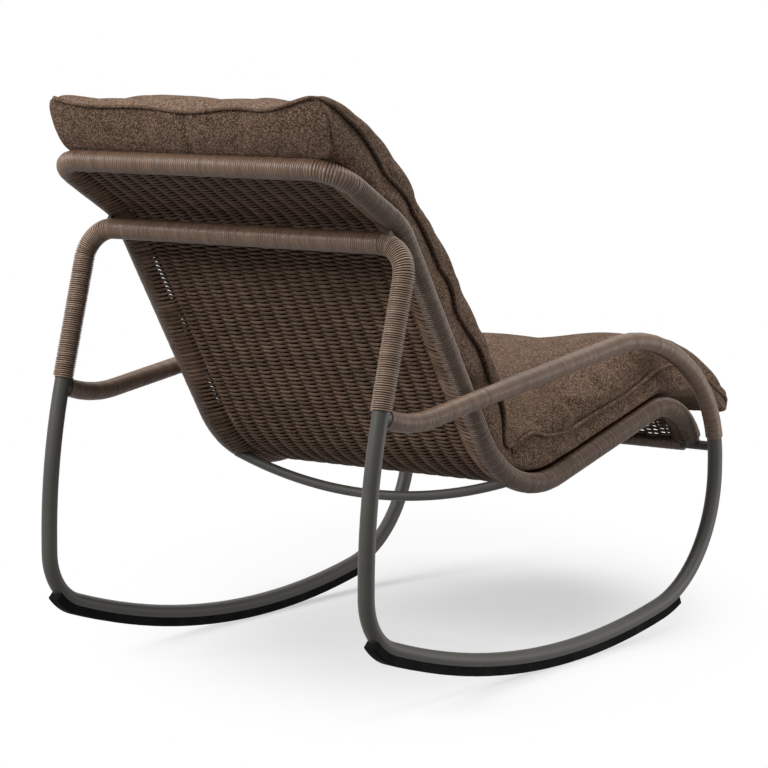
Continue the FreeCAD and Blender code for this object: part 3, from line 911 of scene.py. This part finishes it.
@dataclass(frozen=True)
class Cushion:
    """Loose lounge cushion: a top panel and an underside that meet in a piped seam, sewn down at two folds.

    Heights are measured from the seat line, square to it, and places along it from the cushion's head end.

    Attributes:
        rest, settle: Height of the underside over the side rails, and how far it sinks between them.
        settle_span, settle_edge: Where along the cushion, and how far from its edges, it does so.
        length, lean: Length along the seat line, and how far the cushion lies to the left of the middle.
        top, crown: Height of the top panel's edge along the cushion, and the rise of its middle.
        near_lift: Further height of the top on the sitter's right, where the stuffing has moved to.
        near_side, far_side: Distances from the middle over which near_lift and far_drop come in.
        seam, half: Height and half width at the seam, along the cushion.
        least_top, full_height: Least height of the top over the seam, and the height from which it is crowned.
        folds, fold_pull: Place, depth and reach of each fold, and how far it draws the sides in.
        tuck: Edge of the tuck on the sitter's right: its place along the cushion, by distance from the middle.
        tuck_height, tuck_dip: How far the cloth stands up there, and the share of that by which it dips in front.
        head_waves, seam_waves: Small waves of the top and the seam at the head end, by distance from the middle.
        dart, dart_span: Depth of the short seam down the middle of the head end, and where it lies.
        head_fade, tip_fade, wave_fade: How far from the ends their shapes, and the head end's waves, die away.
        head_sag, head_dip: How far the head end's seam hangs and lies back between its corners.
        far_drop: How far the left corner of the head end hangs.
        tip_dip, tip_lift, tip_span: How far the front end's seam lies back, the underside's rise there, and where.
        head_top, head_under, tip_top, tip_under: Lengths over which the panels close on the seam at both ends.
        corner, fullness: Width of the rounded edge above the seam, and the power that shapes it; less is fuller.
        under_bulge: How far the side below the seam swells out.
        recess, recess_reach: How far the seam is drawn in between the swellings, and how far that reaches.
        gather_reach: How far the small gathers reach from the seam.
        piping_stand: How far the welt's middle stands out from the seam.
        piping_sink: How far inside the further panel the welt lies along the sides, before it stands out.
        fill_limit: Furthest that the filling may move a point, in metres.
    """

    finish: FabricFinish
    rest: float = 17.6
    settle: float = 11.4
    settle_span: Span = (95.0, 150.0, 1250.0, 1380.0)
    settle_edge: Pair = (8.0, 46.0)
    length: float = 1443.0
    crown: Table = ((0, 3), (40, 9), (120, 8), (251, 4), (400, 8), (560, 8), (700, 4), (770, 0), (900, -2),
                    (1186, -3), (1300, 0), (1443, 2))
    top: Table = ((0, 84), (20, 92), (48, 98), (74, 102), (113, 105), (174, 104), (228, 95), (262, 91), (290, 92),
                  (350, 101), (400, 108), (439, 111), (505, 114.5), (560, 117), (640, 112), (700, 103), (770, 92),
                  (860, 88), (1000, 89), (1100, 90), (1190, 90), (1260, 90), (1300, 85), (1345, 82), (1387, 82),
                  (1415, 82), (1430, 87), (1443, 91))
    near_lift: Table = ((0, 0), (700, 0), (850, 0), (1000, 9), (1150, 18), (1280, 17), (1345, 9), (1400, 3), (1443, 0))
    seam: Table = ((0, 80), (53, 83), (119, 80), (160, 70), (195, 59), (243, 55), (311, 59), (368, 64), (421, 71),
                   (452, 64), (488, 70), (550, 82), (591, 79), (655, 84), (702, 70), (735, 47), (752, 47), (780, 70),
                   (842, 78), (901, 64), (960, 52), (1033, 53), (1107, 49), (1180, 52), (1258, 63), (1320, 60),
                   (1400, 60), (1430, 67), (1443, 71))
    half: Table = ((0, 244), (5, 250), (15, 256), (32, 259), (70, 257), (130, 256), (251, 257), (400, 256),
                   (600, 257), (770, 257), (900, 259), (1100, 260), (1300, 260), (1410, 260), (1428, 257),
                   (1438, 251), (1443, 246))
    near_side: Pair = (-20.0, 175.0)
    far_side: Pair = (60.0, 262.0)
    least_top: float = 6.0
    full_height: float = 30.0
    lean: float = -3.5
    folds: Table = ((268.0, 6.0, 14.0), (770.0, 44.0, 24.0))
    fold_pull: float = 4.0
    tuck: Table = ((100, 1030), (161, 996), (199, 972), (241, 950), (255, 957), (268, 966))
    tuck_height: float = 13.0
    tuck_dip: float = 0.9
    head_waves: Table = ((-262, 0), (-232, 3), (-215, 0), (-196, -3), (-180, -2), (-150, 2), (-125, 4), (-93, -2),
                         (-60, 0), (-25, 0), (7, 3), (65, 4), (100, 4), (122, 4), (152, -3), (180, -2), (208, -6),
                         (224, -5), (260, 0))
    seam_waves: Table = ((-262, 0), (-225, -3), (-170, -8), (-97, 4), (-23, 0), (72, 4), (187, -2), (260, 0))
    wave_fade: float = 75.0
    dart: float = 5.0
    dart_span: Span = (2.0, 12.0, 62.0, 88.0)
    head_fade: float = 26.0
    tip_fade: float = 40.0
    head_sag: float = 22.0
    head_dip: float = 17.0
    far_drop: float = 13.0
    tip_dip: float = 7.0
    tip_lift: float = 20.0
    tip_span: Pair = (1290.0, 1420.0)
    head_top: float = 34.0
    head_under: float = 74.0
    tip_top: float = 24.0
    tip_under: float = 20.0
    corner: float = 31.0
    under_corner: float = 12.0
    fullness: float = 0.66
    under_fullness: float = 0.5
    under_bulge: float = 9.0
    recess: float = 3.5
    recess_reach: float = 8.0
    gather_reach: float = 34.0
    row_gap: float = 5.8
    top_columns: int = 61
    corner_columns: int = 9
    piping_radius: float = 3.2
    piping_stand: float = 2.2
    piping_sink: float = 5.8
    piping_sides: int = 10
    fill_frames: int = 20
    fill_limit: float = 0.007

    @property
    def seam_column(self) -> int:
        """Column of the grid that is the seam on the sitter's right; on the left it is column 0."""
        return self.top_columns + 2 * self.corner_columns - 1

    def places(self) -> Array:
        """Rows of the grid, as places along the cushion: even along each section, closer at its two ends."""
        bounds = [0.0, *(fold[0] for fold in self.folds), self.length]
        rows = []
        for low, high in zip(bounds, bounds[1:]):
            share = np.linspace(0, 1, int((high - low) / self.row_gap) + 8)
            rows.append(low + (high - low) * (share - np.sin(2 * np.pi * share) / (2 * np.pi) * 0.72))
        return np.concatenate([row[:-1] for row in rows[:-1]] + [rows[-1]])

    def outline(self, s: Array) -> tuple[Array, Array, Array, Array]:
        """Half width, and heights of seam, top panel and underside, at places along the cushion.

        Each follows its own curve. At both ends the top closes on the seam as a quarter ellipse, and so does
        the underside at the front end, while at the head end it slants up to the seam. At a fold the top is
        drawn down and the sides are drawn in by an amount that falls off with the distance from the fold.

        Args:
            s: Places along the cushion.

        Returns:
            Four arrays like s.
        """
        half, seam, top = (smooth_curve(knots, s) for knots in (self.half, self.seam, self.top))
        under = self.rest + self.tip_lift * smooth_step(*self.tip_span, s)
        for place, depth, reach in self.folds:
            pull = np.exp(-np.abs(s - place) / reach)
            top = top - depth * pull
            half = half - self.fold_pull * pull
        seam = np.minimum(seam, top - self.least_top)
        far = self.length - s

        def closing(distance: Array, span: float) -> Array:
            """Quarter ellipse from 0 at an end to 1 at the span from it."""
            return np.sqrt(1 - (1 - np.clip(distance / span, 0, 1)) ** 2)

        slope = 1 - (1 - np.clip(s / self.head_under, 0, 1)) ** 1.5
        top = seam + (top - seam) * closing(s, self.head_top) * closing(far, self.tip_top)
        under = seam - (seam - under) * slope * closing(far, self.tip_under)
        return half, seam, top, under

    def section_shares(self) -> tuple[Array, Array, Array]:
        """Columns round the cushion, from the left seam over the top to the right seam and back below.

        Returns:
            For each column the share of the corner's quarter turn, the share of the flat width, and 1 for
            the top panel or -1 for the underside.
        """
        turn = np.pi / 2 * np.linspace(0, 1, self.corner_columns + 1)[:-1] ** 1.5
        quarter, ones = np.full(self.top_columns, np.pi / 2), np.ones(self.corner_columns)
        over = np.concatenate([turn, quarter, turn[::-1]])
        flat = np.concatenate([ones, np.linspace(1, -1, self.top_columns), -ones])
        panel = np.ones(len(over))
        below = slice(-2, 0, -1)
        return (np.concatenate([over, over[below]]), np.concatenate([flat, flat[below]]),
                np.concatenate([panel, -panel[below]]))

    def grid(self) -> tuple[Array, Array]:
        """Points of the closed cover before it is filled.

        A section is a crowned top and a flat underside, each joined to the seam by a quarter of a rounded square:
        x = +-(half - corner) +- corner cos^p t and height = seam + (panel - seam) sin^p t, where a power p
        under 1 makes the corner fuller. The top rises by the crown times 1 - x^2 and leans up to the sitter's
        right, the ends' seams lie back and hang between their corners, the cloth gathers in small waves near
        the seam, and the section is set square to the seat line at its place.

        Returns:
            Points as (rows, columns, 3), and x in the same grid.
        """
        s = self.places()[:, None]
        half, seam, top, under = self.outline(s)
        turn, flat, panel = self.section_shares()
        above = panel > 0
        corner = np.where(above, self.corner, self.under_corner)
        power = np.where(above, self.fullness, self.under_fullness)
        reach = corner * np.cos(turn) ** power + np.where(above, 0, self.under_bulge * np.sin(2 * turn))
        thick = np.where(above, top, under) - seam
        swell = np.clip((top - seam) / self.full_height, 0, 1) * above
        rise = np.sin(turn) ** power
        drawn = self.recess * np.exp(-np.abs(thick * rise) / self.recess_reach)
        x = flat * (half - corner) + np.sign(flat) * (reach - drawn) * (np.abs(flat) == 1)
        middle = np.clip(1 - (x / half) ** 2, 0, 1)
        crown, lift = (smooth_curve(knots, s) for knots in (self.crown, self.near_lift))
        head, tip = np.exp(-s / self.head_fade), np.exp((s - self.length) / self.tip_fade)
        height = seam + thick * rise + (crown * middle + lift * smooth_step(*self.near_side, -x) * rise) * swell
        height = height - (self.head_sag * middle + self.far_drop * smooth_step(*self.far_side, x)) * head
        lying, inside = smooth_band(self.settle_span, s), smooth_step(*self.settle_edge, half - np.abs(x))
        height = height - self.settle * lying * inside * rise * ~above
        along = s + self.head_dip * middle * head - self.tip_dip * middle * tip
        crest, sewn = (smooth_curve(knots, x) for knots in (self.head_waves, self.seam_waves))
        height = height + crest * (np.exp(-(s / self.wave_fade) ** 2) - head) * rise * above + sewn * head
        fall = smooth_band(self.dart_span, s) * (flat == 0) * ~above
        height, along = height + self.dart * fall, along + 0.7 * self.dart * fall
        loose = np.sin(turn) * above
        ripple = 0.8 * np.sin(along / 9.5 + 0.6 * np.sin(along / 23)) + 0.3 * np.sin(along / 21 + x / 60)
        height = height + np.exp(-np.abs(np.abs(x) - half) / self.gather_reach) * loose * ripple
        height = height + 1.6 * np.sin(along / 47 + x / 61) * np.sin(x / 53 - along / 93) * loose * swell
        tuck = self.tuck_rise(x, turn, s) * above
        height, x = height + tuck * np.sin(turn), x - tuck * np.cos(turn)
        frames = PLAN.cushion_line().frames(along)
        return frames.points + (x + self.lean)[..., None] * X_AXIS + height[..., None] * frames.up, x

    def tuck_rise(self, x: Array, turn: Array, s: Array) -> Array:
        """How far the cloth stands out at the tuck beside the back.

        It steps up at the tuck's edge and falls off behind it, and just in front of the edge it dips.

        Args:
            x: Distance from the middle.
            turn: Angle over the rounded edge, a quarter turn on the flat.
            s: Place along the cushion.

        Returns:
            The rise.
        """
        behind, share = self.tuck_place(x, turn, s)
        step = smooth_step(-5, 5, behind) * np.exp(-np.maximum(behind, 0) / 70)
        dip = self.tuck_dip * np.exp(-((behind + 18) / 14) ** 2)
        return self.tuck_height * (step - dip) * share * (0.4 + 0.6 * smooth_step(0, 0.6, turn))

    def tuck_place(self, x: Array, turn: Array, s: Array) -> tuple[Array, Array]:
        """How far behind the tuck's edge each point lies, and the share of the tuck's height there."""
        out = -x + 40 * (1 - turn / (np.pi / 2))
        return np.interp(out, *np.array(self.tuck, float).T) - s, smooth_step(100, 165, out)

    def surface(self) -> tuple[Surface, Array]:
        """Closed cover as a surface whose two end rows are sewn together.

        The flat measure of the cloth runs round each section from the top's middle, where the underside is
        stretched to end at the left seam, and along each column from the middle row.

        Returns:
            The surface, and for each point of the grid its number in the surface.
        """
        points, _ = self.grid()
        rows, columns, _ = points.shape
        right = self.seam_column
        run = np.cumsum(np.linalg.norm(np.diff(points, axis=1, prepend=points[:, :1]), axis=-1), 1)
        middle = (right + 1) // 2
        u = run[:, middle:middle + 1] - run
        seam_u = u[:, right:right + 1]
        under = run[:, right:] - run[:, right:right + 1]
        whole = under[:, -1:] + np.linalg.norm(points[:, 0] - points[:, -1], axis=-1)[:, None]
        u[:, right:] = seam_u + (u[:, :1] - seam_u) * under / whole
        along = np.cumsum(np.linalg.norm(np.diff(points, axis=0, prepend=points[:1]), axis=-1), 0)
        along = along - along[rows // 2]
        quads = Surface.grid_quads(rows, columns)
        uv = np.stack([u.ravel(), along.ravel()], -1) * TO_METRES
        key = np.round(points.reshape(-1, 3), 3)
        _, kept, number = np.unique(key, axis=0, return_index=True, return_inverse=True)
        number = number.ravel()
        welded = number[quads]
        sound = np.all(np.diff(np.sort(welded, 1), axis=1) > 0, axis=1)
        surface = Surface(points.reshape(-1, 3)[kept], welded[sound], corner_uv=uv[quads[sound]])
        return surface, number.reshape(rows, columns)

    def held(self, number: Array) -> list[int]:
        """Points that stay in place while the cover is filled: seams, folds, the tuck and the resting face.

        Args:
            number: Number of each grid point in the surface.

        Returns:
            Their numbers in the surface.
        """
        s = self.places()
        right, edge = self.seam_column, self.corner_columns - 3
        held = np.zeros(number.shape, bool)
        held[[0, -1, *(np.argmin(np.abs(s - fold[0])) for fold in self.folds)]] = True
        held[:, [0, right]] = True
        held[(s > 66) & (s < 1230), right + 1 + edge:-edge] = True
        turn, _, panel = self.section_shares()
        behind, share = self.tuck_place(self.grid()[1], turn, s[:, None])
        held |= (np.abs(behind + 13) < 28) & (share > 0.5) & (panel > 0)
        return np.unique(number[held]).tolist()

    @staticmethod
    def read(mesh: bpy.types.Mesh) -> Array:
        """A mesh's points, in metres."""
        points = np.empty(len(mesh.vertices) * 3, np.float32)
        mesh.vertices.foreach_get("co", points)
        return points.reshape(-1, 3)

    def fill(self, piece: Piece, held: list[int]) -> None:
        """Swell the cover with pressure as cloth, and keep the result in its mesh.

        Args:
            piece: The cover.
            held: Numbers of the points that stay in place.
        """
        scene = bpy.context.scene
        group = piece.vertex_groups.new(name="held")
        group.add(held, 1.0, "REPLACE")
        modifier = piece.modifiers.new("filling", "CLOTH")
        cloth = modifier.settings
        settings = {"quality": 6, "mass": 0.3, "tension_stiffness": 14, "compression_stiffness": 14,
                    "shear_stiffness": 6, "bending_stiffness": 0.6, "air_damping": 2, "vertex_group_mass": group.name,
                    "use_pressure": True, "uniform_pressure_force": 3, "shrink_min": -0.008}
        for name, value in settings.items():
            setattr(cloth, name, value)
        cloth.effector_weights.gravity = 0
        modifier.point_cache.frame_start = 1
        modifier.point_cache.frame_end = self.fill_frames
        before = self.read(piece.data)
        for number in range(1, self.fill_frames + 1):
            scene.frame_set(number)
        after = self.read(piece.evaluated_get(bpy.context.evaluated_depsgraph_get()).data)
        piece.modifiers.remove(modifier)
        piece.vertex_groups.remove(group)
        scene.frame_set(1)
        move = after - before
        far = np.linalg.norm(move, axis=1, keepdims=True)
        move *= np.minimum(1, self.fill_limit / np.maximum(far, 1e-9))
        size = np.linalg.norm(move, axis=1) / TO_METRES
        LOG.info("filling moved the cover by %.1f mm on average and up to %.1f mm", size.mean(), size.max())
        piece.data.vertices.foreach_set("co", (before + move).astype(np.float32).ravel())
        piece.data.update()

    def piping(self, piece: Piece, number: Array, material: Material) -> Piece:
        """Welt along the seam: a round cord of the cover's cloth with a thin fin that goes in to the seam.

        Where the panels swell past the seam, the cord lies between them, a little inside the further one. Its
        ring has the points c + (stand + r cos t) a + r sin t b, for the path's point c, the outward direction a,
        and b square to both, and the innermost point of the ring is drawn in to the seam as the fin.

        Args:
            piece: The filled cover.
            number: Number of each grid point in the cover.
            material: The fabric.

        Returns:
            The welt, as one closed loop.
        """
        end, radius, sides = self.seam_column, self.piping_radius, self.piping_sides
        grid = self.read(piece.data)[number] / TO_METRES
        beside = np.arange(-3, 4)
        left, right = grid[:, 0].copy(), grid[:, end].copy()
        run = slice(12, -12)
        left[run, 0] = np.maximum(left[:, 0], grid[:, beside, 0].max(1) - self.piping_sink)[run]
        right[run, 0] = np.minimum(right[:, 0], grid[:, end + beside, 0].min(1) + self.piping_sink)[run]
        front, back = grid[-1, 1:end + 1], grid[0, 1:end][::-1]
        path = np.concatenate([left, front, right[::-1][1:], back])
        seam = np.concatenate([grid[:, 0], front, grid[:, end][::-1][1:], back])

        def softened(values: Array, times: int) -> Array:
            """Values round the loop, each drawn to the mean of its neighbours a few times."""
            for _ in range(times):
                values = (np.roll(values, 1, 0) + 2 * values + np.roll(values, -1, 0)) / 4
            return values

        path = softened(path, 2)
        tangent = np.roll(path, -1, 0) - np.roll(path, 1, 0)
        tangent /= np.linalg.norm(tangent, axis=1, keepdims=True)
        sideways = smooth_step(222, 256, np.abs(path[:, :1]))
        ends = np.where(path[:, 1:2] > 0, np.array([0.0, 0.8, 0.6]), np.array([0.0, -0.72, -0.69]))
        outward = softened(sideways * np.sign(path[:, :1]) * X_AXIS + (1 - sideways) * ends, 4)
        first = outward - tangent * np.sum(outward * tangent, 1, keepdims=True)
        first /= np.linalg.norm(first, axis=1, keepdims=True)
        second = np.cross(tangent, first)
        angle = np.arange(sides) * (2 * np.pi / sides)
        depth = np.clip(np.sum((path - seam) * first, 1, keepdims=True), 0, None) + radius + self.piping_stand
        out = self.piping_stand + np.cos(angle) * np.where(np.cos(angle) < -0.99, depth, radius)
        points = path[:, None] + out[..., None] * first[:, None] + (radius * np.sin(angle))[:, None] * second[:, None]
        quads = Surface.grid_quads(len(path) + 1, sides) % (len(path) * sides)
        length = np.cumsum(np.linalg.norm(np.diff(path, axis=0, prepend=path[:1]), axis=1))
        cloth = np.stack(np.broadcast_arrays(length[:, None], angle * radius), -1).reshape(-1, 2)
        surface = Surface(points.reshape(-1, 3), quads, corner_uv=cloth[quads] * TO_METRES)
        return surface.piece("cushion_piping", material, Body.CUSHION, Slot.FABRIC)

    def build(self) -> None:
        """Make the cover, fill it and sew on the piping."""
        material = self.finish.material()
        surface, number = self.surface()
        cover = surface.piece("lounge_cushion", material, Body.CUSHION, Slot.FABRIC)
        self.fill(cover, self.held(number))
        piping = self.piping(cover, number, material)
        smooth = cover.modifiers.new("smooth", "SUBSURF")
        smooth.levels = smooth.render_levels = 1
        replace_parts(cover, "headrest_pad", "back_pad", "seat_pad")
        report(cover)
        report(piping)


@dataclass(frozen=True)
class TubeFrame:
    """Bare tubes, tabs, rubber strips and screws, which keep their CAD shapes."""

    paint: PaintFinish
    rubber: RubberFinish
    steel: SteelFinish

    def build(self) -> None:
        """Give each CAD node that still shows its material."""
        materials = {Slot.POWDER_COAT.value: self.paint.material(), Slot.RUBBER.value: self.rubber.material(),
                     Slot.SCREW.value: self.steel.material()}
        slots = {part["node"]: part["material_slot"] for part in frame["record"]["subparts"]}
        for name, node in frame["nodes"].items():
            if slots[name] in materials:
                node.data.materials.clear()
                node.data.materials.append(materials[slots[name]])
                node.data.polygons.foreach_set("use_smooth", np.ones(len(node.data.polygons), dtype=bool))
                report(node)


@dataclass(frozen=True)
class Lamp:
    """A soft square lamp: its name, place, aim and side in metres, and power in watts."""

    name: str
    place: Triple
    aim: Triple
    size: float
    power: float


@dataclass(frozen=True)
class Studio:
    """Pale floor, soft light and the camera.

    Attributes:
        ambient: Strength of the even light from all round.
        oval: Middle, turn in degrees and half lengths of the oval on the floor that keeps the shadow.
    """

    eye: Triple = (-2.8716, 3.9465, 1.0297)
    target: Triple = (0.0, 0.0760, 0.428)
    lens: float = 140.515
    sensor: float = 36.0
    ambient: float = 0.20
    lamps: tuple[Lamp, ...] = (Lamp("key", (1.2, 2.9, 2.5), (0.0, 0.1, 0.4), 1.6, 100.0),
                               Lamp("top", (-0.2, -0.2, 3.3), (0.0, 0.0, 0.4), 2.6, 69.0),
                               Lamp("side", (-1.6, -1.0, 0.45), (-0.2, -0.1, 0.35), 1.0, 12.0))
    floor_half: float = 30.0
    oval: tuple[Triple, float, Triple] = ((0.15, -0.25, 0.0), -53.4, (0.85, 0.47, 1.0))

    def floor(self) -> None:
        """A wide floor that keeps the shadow in a long oval under the chair and is white further out."""
        mesh = bpy.data.meshes.new("floor")
        side = self.floor_half
        mesh.from_pydata([(-side, -side, 0), (side, -side, 0), (side, side, 0), (-side, side, 0)], [], [(0, 1, 2, 3)])
        kit = NodeKit(bpy.data.materials.new("floor"))
        middle, turn, lengths = self.oval
        inputs = {"Vector": kit.object_place(), "Location": middle, "Rotation": (0.0, 0.0, math.radians(turn)),
                  "Scale": lengths}
        place = kit.node("Mapping", inputs, vector_type="TEXTURE").outputs[0]
        far = kit.fade(kit.node("VectorMath", {0: place}, operation="LENGTH").outputs["Value"], 0.50, 1.30, 0.52)
        seen = kit.seen()
        diffuse = kit.node("BsdfDiffuse", {"Color": kit.total((seen, 0.70), start=0.20)}).outputs[0]
        white = kit.node("Emission", {"Strength": 1.0}).outputs[0]
        blend = kit.node("MixShader", {0: kit.math("MULTIPLY", far, seen), 1: diffuse, 2: white})
        mesh.materials.append(kit.finished(blend))
        linked("floor", mesh)

    def world(self) -> None:
        """Even light from all round, which the camera sees as white."""
        kit = NodeKit(bpy.data.worlds.new("studio"))
        level = kit.total((kit.seen(), 1.0 - self.ambient), start=self.ambient)
        background = kit.node("Background", {"Color": (1.0, 1.0, 1.0), "Strength": level})
        bpy.context.scene.world = kit.finished(background, "OutputWorld")

    @staticmethod
    def aim(thing: bpy.types.Object, place: Triple, target: Triple) -> None:
        """Set a lamp or camera at a place, facing a target."""
        thing.location = place
        thing.rotation_euler = (Vector(target) - Vector(place)).to_track_quat("-Z", "Y").to_euler()

    def build(self) -> None:
        """Set up the floor, the light and the camera."""
        self.floor()
        self.world()
        for lamp in self.lamps:
            light = bpy.data.lights.new(lamp.name, "AREA")
            light.size, light.energy = lamp.size, lamp.power
            self.aim(linked(lamp.name, light), lamp.place, lamp.aim)
        camera = bpy.data.cameras.new("camera")
        camera.lens, camera.sensor_width, camera.clip_end = self.lens, self.sensor, 200.0
        holder = linked("camera", camera)
        self.aim(holder, self.eye, self.target)
        bpy.context.scene.camera = holder
        bpy.context.scene.view_settings.view_transform = "Standard"


def main() -> None:
    """Dress the chair and set the studio."""
    logging.basicConfig(level=logging.INFO, format="%(message)s")
    wicker = WickerFinish("wicker", dark=(0.105, 0.060, 0.037), middle=(0.195, 0.118, 0.076),
                          pale=(0.31, 0.21, 0.148), roughness=0.36, gloss=0.42)
    # The legs get a paler copy of the wicker, a painted highlight for the light they catch.
    lit_legs = WickerFinish("lit_leg_wicker", dark=(0.205, 0.126, 0.083), middle=(0.37, 0.245, 0.17),
                        pale=(0.55, 0.40, 0.30), roughness=0.34, gloss=0.36)
    woven = WickerFinish("woven_wicker", dark=(0.068, 0.039, 0.024), middle=(0.142, 0.086, 0.055),
                         pale=(0.25, 0.162, 0.112), roughness=0.48, gloss=0.13)
    fabric = FabricFinish("cushion_fabric", dark=(0.060, 0.034, 0.022), middle=(0.135, 0.082, 0.053),
                          pale=(0.40, 0.275, 0.20), yarn=0.0016)
    paint = PaintFinish("powder_coat", colour=(0.064, 0.061, 0.053), pale=(0.090, 0.086, 0.076), roughness=0.46)
    rubber = RubberFinish("rubber", colour=(0.006, 0.006, 0.006), dust=(0.020, 0.0195, 0.0185))
    steel = SteelFinish("screw_steel", colour=(0.5, 0.49, 0.47))
    TubeFrame(paint, rubber, steel).build()
    WickerFrame(wicker, lit_legs).build()
    WovenPanel(woven).build()
    Cushion(fabric).build()
    Studio().build()


if __name__ == "__main__":
    main()
